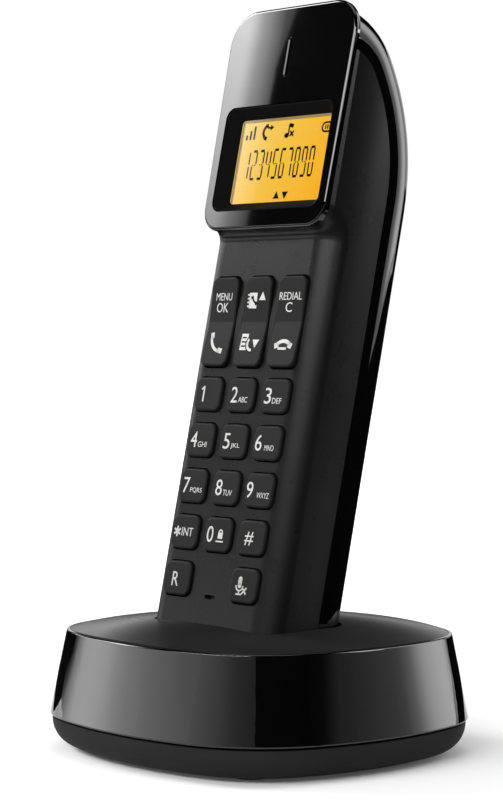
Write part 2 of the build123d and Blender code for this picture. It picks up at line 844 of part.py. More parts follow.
# Rubber keypad mat: a sheet on the board with a rim that reaches up to the face
last_row = first_row - key_pitch_y * (key_rows - 1)
mat_low = last_row - key_height / 2 - key_flange - mat_margin - mat_rim
mat_high = rocker_middle + rocker_height / 2 + rocker_gap + mat_margin + mat_rim
mat_width = 2 * (key_pitch_x + key_width / 2 + key_flange + mat_margin + mat_rim)
mat_middle = (mat_low + mat_high) / 2
with BuildPart() as keypad_mat:
    with BuildSketch(face_plane(board_top)):
        with Locations((0, mat_middle)):
            Rectangle(mat_width, mat_high - mat_low)
    extrude(amount=-handset_wall - board_top)
    with BuildSketch(face_plane(mat_top)):
        with Locations((0, mat_middle)):
            Rectangle(mat_width - 2 * mat_rim, mat_high - mat_low - 2 * mat_rim)
    extrude(amount=-handset_wall - mat_top, mode=Mode.SUBTRACT)
    with BuildSketch(face_plane(board_top)):
        with Locations((0, mic_height)):
            Circle(mic_diameter / 2 + press_gap)
    extrude(amount=-handset_wall - board_top, mode=Mode.SUBTRACT)
write("keypad_mat", keypad_mat)

# Keys: a cap that stands out of its hole on a flange that the face holds back
key_foot = -handset_wall - press_gap
for name, place in key_places.items():
    with BuildPart() as key:
        with BuildSketch(face_plane(key_foot)):
            with Locations(place):
                RectangleRounded(key_width, key_height, key_radius)
        extrude(amount=key_stand - key_foot)
        fillet(key.faces().sort_by(Axis(heel, outward))[-1].edges(), key_edge_radius)
        with BuildSketch(face_plane(key_foot)):
            with Locations(place):
                RectangleRounded(key_width + 2 * key_flange, key_height + 2 * key_flange,
                                 key_radius + key_flange)
        extrude(amount=-key_flange_thickness)
    write(name, key)

# Rockers: two sloping ends meet in a valley over the trunnions that they tilt on
rocker_low = rocker_middle - rocker_height / 2
rocker_high = rocker_middle + rocker_height / 2
for name, place in rocker_places.items():
    with BuildPart() as rocker:
        with BuildSketch(Plane(origin=heel + across * place[0], x_dir=upward, z_dir=across)):
            with BuildLine():
                Polyline((rocker_low, key_foot), (rocker_high, key_foot), (rocker_high, rocker_stand),
                         (rocker_middle, rocker_valley), (rocker_low, rocker_stand), close=True)
            make_face()
        extrude(amount=key_width / 2, both=True)
        fillet(rocker.edges().filter_by(Axis(heel, outward)), key_radius)
        slopes = rocker.faces().filter_by(GeomType.PLANE).group_by(Axis(heel, outward))[-1]
        fillet(slopes.edges(), rocker_edge_radius)
        with BuildSketch(face_plane(key_foot)):
            with Locations(place):
                Rectangle(key_width + 2 * key_flange, rocker_trunnion)
        extrude(amount=-key_flange_thickness)
    write(name, rocker)

with BuildPart() as earpiece:
    with BuildSketch(face_plane(fascia_seat)):
        with Locations((0, ear_slit_height)):
            Circle(earpiece_diameter / 2)
    extrude(amount=-earpiece_thickness)
    chamfer(earpiece.faces().sort_by(Axis(heel, outward))[0].edges(), can_edge)
write("earpiece", earpiece)

with BuildPart() as microphone:
    with BuildSketch(face_plane(board_top)):
        with Locations((0, mic_height)):
            Circle(mic_diameter / 2)
    extrude(amount=-handset_wall - board_top)
write("microphone", microphone)

with BuildPart() as ringer:
    with BuildSketch(face_plane(ringer_face)):
        with Locations((0, ringer_height)):
            Circle(ringer_diameter / 2)
    extrude(amount=ringer_thickness)
    chamfer(ringer.faces().sort_by(Axis(heel, outward))[-1].edges(), can_edge)
write("ringer", ringer)

# Two cells side by side, turned end for end, between plates and domed springs
cell_high = cell_low + cell_length
with BuildPart() as battery_cells:
    with BuildSketch(section_plane(cell_low)):
        with Locations((-cell_pitch / 2, -cell_axis), (cell_pitch / 2, -cell_axis)):
            Circle(cell_diameter / 2)
    extrude(amount=cell_length)
    chamfer(battery_cells.edges().filter_by(GeomType.CIRCLE), can_edge)
    with BuildSketch(section_plane(cell_high)):
        with Locations((-cell_pitch / 2, -cell_axis)):
            Circle(cell_nub_diameter / 2)
    extrude(amount=cell_nub_length)
    with BuildSketch(section_plane(cell_low)):
        with Locations((cell_pitch / 2, -cell_axis)):
            Circle(cell_nub_diameter / 2)
    extrude(amount=-cell_nub_length)
write("battery_cells", battery_cells)

with BuildPart() as battery_contacts:
    for end, inward in ((bay_low, 1), (bay_high, -1)):
        with BuildSketch(section_plane(end)):
            with Locations((-cell_pitch / 2, -cell_axis), (cell_pitch / 2, -cell_axis)):
                Rectangle(cell_contact_size, cell_contact_size)
        extrude(amount=inward * cell_contact_thickness)
        with BuildSketch(section_plane(end + inward * cell_contact_thickness)):
            with Locations((-inward * cell_pitch / 2, -cell_axis)):
                Circle(cell_nub_diameter / 2)
        extrude(amount=inward * cell_contact_bump)
write("battery_contacts", battery_contacts)

with BuildPart() as charge_pads:
    with BuildSketch(section_plane(pad_recess)):
        with pad_places:
            Rectangle(pad_width, pad_length)
    extrude(amount=pad_thickness)
write("charge_pads", charge_pads)

with BuildPart() as handset_screws:
    with BuildSketch(face_plane(screw_seat)):
        with screw_places:
            Circle(screw_head_diameter / 2)
    extrude(amount=-screw_head_height)
    with BuildSketch(face_plane(screw_seat)):
        with screw_places:
            Circle(screw_diameter / 2)
    extrude(amount=screw_length)
    for place in screw_places:
        with BuildSketch(face_plane(screw_seat - screw_head_height)):
            with Locations(place):
                Rectangle(screw_cross_length, screw_cross_width)
                Rectangle(screw_cross_width, screw_cross_length)
        extrude(amount=screw_cross_depth, mode=Mode.SUBTRACT)
write("handset_screws", handset_screws)
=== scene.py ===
# %% [markdown]
# # A cordless phone in its charging base
# The phone is a black handset that leans back in the cradle of a rounded base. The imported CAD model
# gives every moulding at its real size, so this lesson is about finish: black plastics that differ
# only in gloss and grain, white print on the keys, a lit amber display, and a studio whose softboxes
# draw the shapes as bright edges and grey fades.

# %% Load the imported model
import json
import math

import bmesh
import bpy
from mathutils import Matrix, Vector


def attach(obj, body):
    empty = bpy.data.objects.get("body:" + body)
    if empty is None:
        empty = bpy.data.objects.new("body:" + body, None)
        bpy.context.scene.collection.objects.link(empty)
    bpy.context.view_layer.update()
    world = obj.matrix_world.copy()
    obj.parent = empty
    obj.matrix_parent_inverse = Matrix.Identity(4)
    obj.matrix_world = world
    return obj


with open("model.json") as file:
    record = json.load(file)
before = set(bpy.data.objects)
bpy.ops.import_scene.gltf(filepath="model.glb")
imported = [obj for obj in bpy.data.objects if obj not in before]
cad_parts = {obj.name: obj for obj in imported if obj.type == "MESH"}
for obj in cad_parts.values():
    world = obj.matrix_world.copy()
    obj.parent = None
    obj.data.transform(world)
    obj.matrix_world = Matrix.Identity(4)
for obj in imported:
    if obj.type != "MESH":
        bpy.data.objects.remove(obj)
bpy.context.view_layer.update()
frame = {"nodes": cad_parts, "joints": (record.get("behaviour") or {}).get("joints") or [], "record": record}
nodes = frame["nodes"]
joints = {joint["name"]: joint for joint in frame["joints"]}
MM = 0.001

# %% [markdown]
# ## The handset has directions of its own
# The handset leans, so print and display parts are laid out along its face, not along the table. The
# two joints that slide with the handset already hold those directions: lifting it goes up along the
# face, and pressing a key goes into the face. Measuring a node along them gives the place of its top.

# %% Directions of the handset and where a piece lies along them
across = Vector((1, 0, 0))
upward = Vector(joints["handset_lift"]["axis"]).normalized()
outward = -Vector(joints["key_5_press"]["axis"]).normalized()


def span(node, direction):
    """Lowest and highest reach of a node along a direction, in metres."""
    reach = [vertex.co.dot(direction) for vertex in nodes[node].data.vertices]
    return min(reach), max(reach)


def middle(node, direction):
    return sum(span(node, direction)) / 2


def face_matrix(x, y, out, tilt=0.0):
    """Places a flat drawing: its x runs across, its y up the face and its z out of the face."""
    turn = Matrix((across, upward, outward)).transposed().to_4x4()
    place = across * x + upward * y + outward * out
    return Matrix.Translation(place) @ turn @ Matrix.Rotation(tilt, 4, "X")


lean = math.degrees(math.asin(upward.y))
print(f"the handset leans back {lean:.1f} degrees")

# %% [markdown]
# ## The camera stands where the photographer stood
# A long lens, half way between the front and the right side and as high as the rocker keys, gives
# upright sides and little narrowing. The camera is set by its bearing round the phone, its distance
# along the floor, its height, and the small tilts that level the picture.

# %% Camera
camera_bearing = math.radians(48.57)
camera_distance = 586.6 * MM
camera_height = 102.0 * MM
camera_sidestep = -2.1 * MM
camera_pitch = math.radians(-1.54)
camera_roll = math.radians(0.33)
camera_lens = 106.03

towards_right = Vector((math.cos(camera_bearing), math.sin(camera_bearing), 0))
away_level = Vector((-math.sin(camera_bearing), math.cos(camera_bearing), 0))
up_axis = Vector((0, 0, 1))
aim = away_level * math.cos(camera_pitch) + up_axis * math.sin(camera_pitch)
level_up = towards_right.cross(aim)
picture_right = towards_right * math.cos(camera_roll) + level_up * math.sin(camera_roll)
picture_up = level_up * math.cos(camera_roll) - towards_right * math.sin(camera_roll)

camera_data = bpy.data.cameras.new("photo_camera")
camera_data.lens = camera_lens
camera = bpy.data.objects.new("photo_camera", camera_data)
bpy.context.scene.collection.objects.link(camera)
stand = away_level * -camera_distance + up_axis * camera_height + towards_right * camera_sidestep
turn = Matrix((picture_right, picture_up, -aim)).transposed().to_4x4()
camera.matrix_world = Matrix.Translation(stand) @ turn
bpy.context.scene.camera = camera
print("camera at", [round(value, 3) for value in stand])

# %% [markdown]
# ## Shader helpers
# Every finish starts as a Principled shader that reads Object coordinates, so a pattern keeps its real
# size and stays on its piece. Small helpers add what all mouldings share: a value or a tone that wanders
# with soft noise, and a bump of fine grain. Noise mostly stays near its middle, so that part of it is
# spread over the whole range.

# %% Shader helpers
noise_low = 0.3
noise_high = 0.7


def new_finish(name, colour, roughness):
    """A material with its shader, its nodes and a node that gives Object coordinates."""
    material = bpy.data.materials.new(name)
    material.use_nodes = True
    tree = material.node_tree
    shader = tree.nodes["Principled BSDF"]
    shader.inputs["Base Color"].default_value = (*colour, 1)
    shader.inputs["Roughness"].default_value = roughness
    coords = tree.nodes.new("ShaderNodeTexCoord")
    return material, tree, shader, coords.outputs["Object"]


def noise(tree, coords, size, detail=2.0):
    """Soft noise whose lumps are about this size in metres."""
    texture = tree.nodes.new("ShaderNodeTexNoise")
    texture.inputs["Scale"].default_value = 1 / size
    texture.inputs["Detail"].default_value = detail
    tree.links.new(coords, texture.inputs["Vector"])
    return texture.outputs["Fac"]


def between(tree, source, low, high):
    """Maps the middle of a noise to a range of values."""
    mapped = tree.nodes.new("ShaderNodeMapRange")
    mapped.inputs["From Min"].default_value = noise_low
    mapped.inputs["From Max"].default_value = noise_high
    mapped.inputs["To Min"].default_value = low
    mapped.inputs["To Max"].default_value = high
    tree.links.new(source, mapped.inputs["Value"])
    return mapped.outputs["Result"]


def wander_colour(tree, shader, source, first, second):
    """Colour that drifts between two near tones."""
    ramp = tree.nodes.new("ShaderNodeValToRGB")
    ramp.color_ramp.elements[0].position = noise_low
    ramp.color_ramp.elements[0].color = (*first, 1)
    ramp.color_ramp.elements[1].position = noise_high
    ramp.color_ramp.elements[1].color = (*second, 1)
    tree.links.new(source, ramp.inputs["Fac"])
    tree.links.new(ramp.outputs["Color"], shader.inputs["Base Color"])


def grain(tree, shader, source, depth):
    """Raises the surface by noise, with a depth in metres, on top of any bump that is there."""
    bump = tree.nodes.new("ShaderNodeBump")
    bump.inputs["Distance"].default_value = depth
    tree.links.new(source, bump.inputs["Height"])
    if shader.inputs["Normal"].is_linked:
        tree.links.new(shader.inputs["Normal"].links[0].from_socket, bump.inputs["Normal"])
    tree.links.new(bump.outputs["Normal"], shader.inputs["Normal"])


finishes = {}
print("shader helpers ready")

# %% [markdown]
# ## Two kinds of black plastic
# The band, the fascia and the back are polished in the mould, so they mirror the studio. The keypad
# face, the tray and the top come from a spark-eroded mould, and its fine pits scatter light. Both are
# almost the same black: gloss and grain alone tell them apart, so those two carry the detail.
#
# The matt sides of the handset also swell a little towards the seam. They are nearly flat in the solid,
# and a bump bends their light far enough, without a second mesh over them.

# %% Crowned sides
crown_reach = 17 * MM
crown_sag = 3.0 * MM
crown_power = 2


def side_crown(tree, shader, coords):
    """The sides of the handset swell towards the seam, so their light fades softly to the front."""
    seam = span("front_housing", outward)[0]
    depth = tree.nodes.new("ShaderNodeVectorMath")
    depth.operation = "DOT_PRODUCT"
    depth.inputs[1].default_value = outward
    tree.links.new(coords, depth.inputs[0])
    share = tree.nodes.new("ShaderNodeMapRange")
    share.inputs["From Min"].default_value = seam
    share.inputs["From Max"].default_value = seam + crown_reach
    tree.links.new(depth.outputs["Value"], share.inputs["Value"])
    curve = tree.nodes.new("ShaderNodeMath")
    curve.operation = "POWER"
    curve.inputs[1].default_value = crown_power
    tree.links.new(share.outputs["Result"], curve.inputs[0])
    grain(tree, shader, curve.outputs[0], -crown_sag)


print("sides crowned over", crown_reach / MM, "mm")

# %% [markdown]
# ## The dome of the base
# The top of the base is smooth towards its rim, and dull beside the cradle, where the handset is set
# down. Two materials could show that, but a line would run between them. One roughness that falls with
# the distance from the rubbed spot has no such line.

# %% Polished rim of the dome
rubbed_x = 20 * MM
rubbed_y = -10 * MM
dull_within = 15 * MM
smooth_beyond = 45 * MM
rubbed_roughness = 0.85
rim_roughness = 0.20


def rim_polish(tree, shader, coords):
    """The dome is smooth towards its rim and rubbed dull where the handset is set down."""
    flat = tree.nodes.new("ShaderNodeMapping")
    flat.inputs["Scale"].default_value = (1, 1, 0)
    flat.inputs["Location"].default_value = (-rubbed_x, -rubbed_y, 0)
    tree.links.new(coords, flat.inputs["Vector"])
    distance = tree.nodes.new("ShaderNodeVectorMath")
    distance.operation = "LENGTH"
    tree.links.new(flat.outputs["Vector"], distance.inputs[0])
    share = tree.nodes.new("ShaderNodeMapRange")
    share.inputs["From Min"].default_value = dull_within
    share.inputs["From Max"].default_value = smooth_beyond
    share.inputs["To Min"].default_value = rubbed_roughness
    share.inputs["To Max"].default_value = rim_roughness
    tree.links.new(distance.outputs["Value"], share.inputs["Value"])
    tree.links.new(share.outputs["Result"], shader.inputs["Roughness"])


print("dome dull round", rubbed_x / MM, rubbed_y / MM, "mm")

# %% [markdown]
# ## Matt black
# Spark erosion leaves pits that are tenths of a millimetre wide. As mesh they would be millions of
# faces, so they are a bump. Tone and roughness wander a little, as on a moulding that has been
# handled. The matt pieces differ only in their numbers, so one function makes all of these finishes.

# %% Matt black plastics
matt_lighter = 1.18
matt_drift = 14 * MM
cool = 1.02
cooler = 1.03
handled_patch = 6 * MM
handled_spread = 0.012


def matt_black(name, tone, roughness, pit_size, pit_depth, shine=0.14, crowned=False, domed=False):
    """Pit size and depth are in metres, and shine is the strength of the mirror at the surface."""
    material, tree, shader, coords = new_finish(name, (tone, tone, tone), roughness)
    shader.inputs["Specular IOR Level"].default_value = shine
    lighter = tone * matt_lighter
    drift = noise(tree, coords, matt_drift)
    wander_colour(tree, shader, drift, (tone, tone, tone * cool), (lighter, lighter, lighter * cooler))
    if domed:
        rim_polish(tree, shader, coords)
    else:
        patches = noise(tree, coords, handled_patch, detail=4)
        handled = between(tree, patches, roughness - handled_spread, roughness + handled_spread)
        tree.links.new(handled, shader.inputs["Roughness"])
    if crowned:
        side_crown(tree, shader, coords)
    grain(tree, shader, noise(tree, coords, pit_size, detail=3), pit_depth)
    finishes[name] = material


matt_black("handset_matt", 0.005, 0.28, 0.22 * MM, 0.010 * MM, shine=0.16, crowned=True)
matt_black("base_matt", 0.005, 0.36, 0.26 * MM, 0.012 * MM, shine=0.12)
matt_black("dome_matt", 0.005, 0.36, 0.26 * MM, 0.012 * MM, shine=0.10, domed=True)
matt_black("tray_matt", 0.016, 0.55, 0.26 * MM, 0.012 * MM, shine=0.02)
matt_black("window_matt", 0.004, 0.60, 0.22 * MM, 0.010 * MM, shine=0.01)
matt_black("key_matt", 0.005, 0.52, 0.18 * MM, 0.008 * MM, shine=0.09)
matt_black("dark_moulding", 0.006, 0.50, 0.30 * MM, 0.012 * MM, shine=0.10)
matt_black("foot_rubber", 0.020, 0.75, 0.40 * MM, 0.030 * MM)
matt_black("mat_rubber", 0.045, 0.70, 0.40 * MM, 0.020 * MM)
print("matt finishes:", ", ".join(finishes))

# %% [markdown]
# ## Gloss black
# A polished mould leaves a mirror. The plastic shrinks as it cools, which shows as long, faint ripples
# in what it mirrors, so this bump is millimetres long and less than a thousandth of one deep.

# %% Gloss black plastic
gloss_lighter = 1.3
gloss_drift = 20 * MM
polish_patch = 9 * MM
polish_best = 0.7
polish_worst = 1.4
ripple_length = 5 * MM


def gloss_black(name, tone, roughness, ripple):
    """A mirror black with faint flow ripples, whose depth is in metres."""
    material, tree, shader, coords = new_finish(name, (tone, tone, tone), roughness)
    lighter = tone * gloss_lighter
    drift = noise(tree, coords, gloss_drift)
    wander_colour(tree, shader, drift, (tone, tone, tone), (lighter, lighter, lighter))
    patches = noise(tree, coords, polish_patch, detail=5)
    polish = between(tree, patches, roughness * polish_best, roughness * polish_worst)
    tree.links.new(polish, shader.inputs["Roughness"])
    grain(tree, shader, noise(tree, coords, ripple_length, detail=1), ripple)
    finishes[name] = material


gloss_black("gloss_black", 0.001, 0.02, 0.0003 * MM)
print("gloss finish ready")

# %% [markdown]
# ## Metals
# Contacts and screws are plated, with fine drawn lines. A brushed shader could stretch their gloss, but
# noise that is squeezed in one direction also gives the lines themselves, in roughness and in a bump.

# %% Metals
squeeze = 12
smoother = 0.07
rougher = 0.1
line_depth = 0.004 * MM


def drawn_metal(name, tone, roughness, line):
    """Noise squeezed along y makes the fine lines. Line is its size in metres."""
    material, tree, shader, coords = new_finish(name, tone, roughness)
    shader.inputs["Metallic"].default_value = 1.0
    stretch = tree.nodes.new("ShaderNodeMapping")
    stretch.inputs["Scale"].default_value = (1, squeeze, 1)
    tree.links.new(coords, stretch.inputs["Vector"])
    lines = noise(tree, stretch.outputs["Vector"], line, detail=3)
    worn = between(tree, lines, roughness - smoother, roughness + rougher)
    tree.links.new(worn, shader.inputs["Roughness"])
    grain(tree, shader, lines, line_depth)
    finishes[name] = material


drawn_metal("steel", (0.52, 0.52, 0.53), 0.34, 0.5 * MM)
drawn_metal("contact_metal", (0.80, 0.76, 0.68), 0.22, 0.4 * MM)
drawn_metal("tin_plate", (0.60, 0.60, 0.58), 0.38, 0.8 * MM)
drawn_metal("speaker_can", (0.16, 0.16, 0.17), 0.45, 0.6 * MM)
print("finishes so far:", len(finishes))

# %% [markdown]
# ## Board and cells
# The circuit board is green lacquer over copper tracks, and the cells wear a plain jacket. They show
# only when the phone is open, so a brick pattern is enough for the tracks, and noise for the jacket.

# %% Board and cells
lacquer = (0.012, 0.085, 0.03)
lacquer_lighter = (0.014, 0.095, 0.034)
track_green = (0.03, 0.17, 0.06)
track_pitch = 6 * MM
track_share = 0.06
jacket_green = (0.05, 0.16, 0.08)
jacket_darker = (0.045, 0.15, 0.07)
jacket_lighter = (0.06, 0.18, 0.09)
jacket_patch = 4 * MM
wrinkle_size = 1.5 * MM
wrinkle_depth = 0.01 * MM


def circuit_board():
    """Green lacquer with paler lines where copper tracks run under it."""
    material, tree, shader, coords = new_finish("circuit_board", lacquer, roughness=0.35)
    tracks = tree.nodes.new("ShaderNodeTexBrick")
    tracks.inputs["Scale"].default_value = 1 / track_pitch
    tracks.inputs["Mortar Size"].default_value = track_share
    tracks.inputs["Color1"].default_value = (*lacquer, 1)
    tracks.inputs["Color2"].default_value = (*lacquer_lighter, 1)
    tracks.inputs["Mortar"].default_value = (*track_green, 1)
    tree.links.new(coords, tracks.inputs["Vector"])
    tree.links.new(tracks.outputs["Color"], shader.inputs["Base Color"])
    finishes["circuit_board"] = material


def cell_jacket():
    """A shrunk sleeve with shallow wrinkles."""
    material, tree, shader, coords = new_finish("cell_jacket", jacket_green, roughness=0.3)
    wander_colour(tree, shader, noise(tree, coords, jacket_patch), jacket_darker, jacket_lighter)
    grain(tree, shader, noise(tree, coords, wrinkle_size), wrinkle_depth)
    finishes["cell_jacket"] = material


circuit_board()
cell_jacket()
print("finishes now:", len(finishes))

# %% [markdown]
# ## The lit display
# A side light shines through the display cell, so its amber is paler beside the lamp and deeper at
# the far corner. The fade is measured along one direction, across the cell and a little down it. It is
# given as emission, because the cell itself glows. The clear lens over it has little mirror of its own,
# as if coated against glare, so that the digits can be read from any side.

# %% Display finishes
amber_pale = (0.92, 0.64, 0.18)
amber_middle = (0.92, 0.53, 0.05)
amber_deep = (0.94, 0.40, 0.001)
cell_dark = (0.010, 0.008, 0.004)
cell_lighter = (0.014, 0.011, 0.006)
cell_roughness = 0.25
cell_shine = 0.03
cell_patch = 4 * MM
fall_down = 0.5
glow_fall = (across - fall_down * upward).normalized()


def lit_amber(name, glow):
    """A glow that fades from the corner beside the lamp to the far one."""
    material, tree, shader, coords = new_finish(name, cell_dark, cell_roughness)
    bright_corner, dim_corner = span("lcd_cell", glow_fall)
    distance = tree.nodes.new("ShaderNodeVectorMath")
    distance.operation = "DOT_PRODUCT"
    distance.inputs[1].default_value = glow_fall
    tree.links.new(coords, distance.inputs[0])
    fade = tree.nodes.new("ShaderNodeMapRange")
    fade.inputs["From Min"].default_value = bright_corner
    fade.inputs["From Max"].default_value = dim_corner
    tree.links.new(distance.outputs["Value"], fade.inputs["Value"])
    tones = tree.nodes.new("ShaderNodeValToRGB")
    tones.color_ramp.elements[0].color = (*amber_pale, 1)
    tones.color_ramp.elements[1].color = (*amber_deep, 1)
    tones.color_ramp.elements.new(0.5).color = (*amber_middle, 1)
    tree.links.new(fade.outputs["Result"], tones.inputs["Fac"])
    tree.links.new(tones.outputs["Color"], shader.inputs["Emission Color"])
    wander_colour(tree, shader, noise(tree, coords, cell_patch), cell_dark, cell_lighter)
    shader.inputs["Emission Strength"].default_value = glow
    shader.inputs["Specular IOR Level"].default_value = cell_shine
    finishes[name] = material


lens_index = 1.3
lens_shine = 0.05
lens_patch = 8 * MM
lens_best = 0.01
lens_worst = 0.04


def clear_lens():
    """Clear acrylic, whose polish wanders from patch to patch."""
    material, tree, shader, coords = new_finish("clear_lens", (1, 1, 1), roughness=0.02)
    shader.inputs["Transmission Weight"].default_value = 1.0
    shader.inputs["IOR"].default_value = lens_index
    shader.inputs["Specular IOR Level"].default_value = lens_shine
    polish = between(tree, noise(tree, coords, lens_patch), lens_best, lens_worst)
    tree.links.new(polish, shader.inputs["Roughness"])
    finishes["clear_lens"] = material


lit_amber("lcd_amber", 1.0)
lit_amber("light_guide", 0.6)
clear_lens()
matt_black("display_ink", 0.004, 0.5, 0.1 * MM, 0.001 * MM, shine=cell_shine)
print("display finishes ready")

# %% [markdown]
# ## White print
# The legends are pad-printed: an opaque white film, a hair thick, slightly uneven where the pad
# lifted. The print is made as thin mesh so that it stays with its key when the key moves.

# %% White print
print_white = (0.42, 0.42, 0.41)
print_thin = (0.38, 0.38, 0.37)
print_thick = (0.46, 0.46, 0.45)
print_patch = 0.5 * MM
print_grain = 0.15 * MM
print_relief = 0.003 * MM
print_finish = new_finish("white_print", print_white, roughness=0.5)
white_print, print_tree, print_shader, print_coords = print_finish
print_wear = noise(print_tree, print_coords, print_patch, detail=3)
wander_colour(print_tree, print_shader, print_wear, print_thin, print_thick)
grain(print_tree, print_shader, noise(print_tree, print_coords, print_grain), print_relief)
finishes["white_print"] = white_print
print("print finish ready")

# %% [markdown]
# ## Every CAD piece takes the finish of its slot
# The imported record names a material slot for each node, and the finish of the same name goes on it.
# Three pieces have a finish of their own: the tray and the window frame are duller than their slots,
# and the top of the base has its polished rim.

# %% Dress the CAD pieces
own_finish = {"base_tray": "tray_matt", "base_top": "dome_matt", "window_frame": "window_matt"}
for part in frame["record"]["subparts"]:
    mesh = nodes[part["node"]].data
    mesh.materials.clear()
    mesh.materials.append(finishes[own_finish.get(part["node"], part["material_slot"])])

# %% [markdown]
# ## Drawing with ink
# Legends and display marks are flat drawings, built in the handset's own directions and given a hair
# of thickness. A drawing starts as an empty bmesh. Bars, discs, arcs and triangles are added with
# bmesh operators, and the finished drawing is placed on the face by one matrix.

# %% Ink helpers
film = 0.03 * MM


def add_bar(drawing, x, y, width, height, turn=0.0):
    """A straight stroke about its middle, in millimetres and degrees."""
    place = Matrix.Translation((x * MM, y * MM, 0)) @ Matrix.Rotation(math.radians(turn), 4, "Z")
    size = Matrix.Diagonal((width * MM, height * MM, film, 1))
    bmesh.ops.create_cube(drawing, size=1, matrix=place @ size)


def add_disc(drawing, x, y, radius, sides=20, turn=0.0, stretch=1.0):
    """A round spot, or a triangle with three sides."""
    place = Matrix.Translation((x * MM, y * MM, 0)) @ Matrix.Rotation(math.radians(turn), 4, "Z")
    size = Matrix.Diagonal((1, stretch, 1, 1))
    bmesh.ops.create_cone(drawing, cap_ends=True, segments=sides, radius1=radius * MM,
                          radius2=radius * MM, depth=film, matrix=place @ size)


def add_arc(drawing, x, y, radius, width, start, end, steps=16):
    """Part of a ring: a small upright rectangle spun about the ring's middle."""
    first = math.radians(start)
    inner = (radius - width / 2) * MM
    outer = (radius + width / 2) * MM
    centre = Vector((x * MM, y * MM, 0))
    radial = Vector((math.cos(first), math.sin(first), 0))
    rise = Vector((0, 0, film / 2))
    corners = [centre + radial * inner - rise, centre + radial * outer - rise,
               centre + radial * outer + rise, centre + radial * inner + rise]
    section = drawing.faces.new([drawing.verts.new(corner) for corner in corners])
    bmesh.ops.spin(drawing, geom=[section], cent=centre, axis=(0, 0, 1),
                   angle=math.radians(end - start), steps=steps, use_duplicate=False)


def finish_drawing(drawing, name, body, matrix, finish):
    """Closes a drawing, lays it in place and lets it ride on a body."""
    bmesh.ops.recalc_face_normals(drawing, faces=drawing.faces)
    drawing.transform(matrix)
    mesh = bpy.data.meshes.new(name)
    drawing.to_mesh(mesh)
    drawing.free()
    mesh.materials.append(finishes[finish])
    piece = bpy.data.objects.new(name, mesh)
    bpy.context.scene.collection.objects.link(piece)
    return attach(piece, body)


def add_text(drawing, words, left, low, width, height):
    """Sets words in the box given in millimetres: its left and low edges, width and height."""
    curve = bpy.data.curves.new("setting", "FONT")
    curve.body = words
    curve.extrude = film / 2
    curve.resolution_u = 4
    setting = bpy.data.objects.new("setting", curve)
    bpy.context.scene.collection.objects.link(setting)
    shaped = setting.evaluated_get(bpy.context.evaluated_depsgraph_get())
    flat = bpy.data.meshes.new_from_object(shaped)
    xs = [vertex.co.x for vertex in flat.vertices]
    ys = [vertex.co.y for vertex in flat.vertices]
    size = Matrix.Diagonal((width * MM / (max(xs) - min(xs)), height * MM / (max(ys) - min(ys)), 1, 1))
    to_corner = Matrix.Translation((-min(xs), -min(ys), 0))
    flat.transform(Matrix.Translation((left * MM, low * MM, 0)) @ size @ to_corner)
    drawing.from_mesh(flat)
    bpy.data.objects.remove(setting)
    bpy.data.curves.remove(curve)
    bpy.data.meshes.remove(flat)


print("ink helpers ready, film", film / MM, "mm")

# %% [markdown]
# ## What the display shows
# Ten tall seven-segment digits stand in the middle, with small signs above and two arrows below. Each
# digit lists the strokes that are dark: top, two on the right, bottom, two on the left and the middle,
# which such cells split into two short dashes.

# %% Display picture
digit_strokes = {"0": "tprqbl", "1": "pr", "2": "tpmlb", "3": "tpmrb", "4": "qpmr", "5": "tqmrb",
                 "6": "tqlmrb", "7": "tpr", "8": "tprqblm", "9": "tpqmrb"}
digit_pitch = 2.66
digit_width = 1.9
digit_height = 7.2
digits_left = -12.96
digits_low = -4.45
upright_stroke = 0.46
level_stroke = 0.66
level_inset = 0.5
upright_gap = 0.55
dash_step = 0.4
dash_size = (0.4, 0.34)

display_middle = middle("display_lens", upward)
display_face = span("lcd_cell", outward)[1]
picture = bmesh.new()
half_stroke = digit_height / 4
for number, digit in enumerate("1234567890"):
    x = digits_left + number * digit_pitch
    side = digit_width / 2 - upright_stroke / 2
    centre = digits_low + digit_height / 2
    tall = digit_height / 2 - upright_gap
    bars = {
        "t": (x, digits_low + digit_height, digit_width - level_inset, level_stroke),
        "b": (x, digits_low, digit_width - level_inset, level_stroke),
        "p": (x + side, centre + half_stroke, upright_stroke, tall),
        "r": (x + side, centre - half_stroke, upright_stroke, tall),
        "q": (x - side, centre + half_stroke, upright_stroke, tall),
        "l": (x - side, centre - half_stroke, upright_stroke, tall),
    }
    for stroke in digit_strokes[digit]:
        if stroke == "m":
            for dash in (-dash_step, dash_step):
                add_bar(picture, x + dash, centre, *dash_size)
        else:
            add_bar(picture, *bars[stroke])
print("digits drawn:", len(digit_strokes))

# %% [markdown]
# ## Signs in the display
# Above the digits stand signal bars, a receiver, a note with a cross and a battery, and below them two
# arrows. Each is drawn from bars, discs, arcs and triangles, in millimetres from the display's middle.

# %% Display signs
signs_middle = 7.6
signal_left = -14.7
signal_low = 5.9
signal_pitch = 1.4
signal_wide = 0.72
for number, tall in enumerate((1.3, 2.4, 3.5)):
    add_bar(picture, signal_left + number * signal_pitch, signal_low + tall / 2, signal_wide, tall)

receiver_x = -6.9
add_arc(picture, receiver_x, signs_middle, 1.7, 0.85, 115, 245)
add_bar(picture, receiver_x - 0.6, signs_middle + 1.6, 1.0, 1.0, 20)
add_bar(picture, receiver_x - 0.6, signs_middle - 1.6, 1.0, 1.0, -20)
add_bar(picture, receiver_x + 0.3, signs_middle + 1.1, 1.2, 0.5)
add_disc(picture, receiver_x + 1.2, signs_middle + 1.1, 0.85, 3, -90)

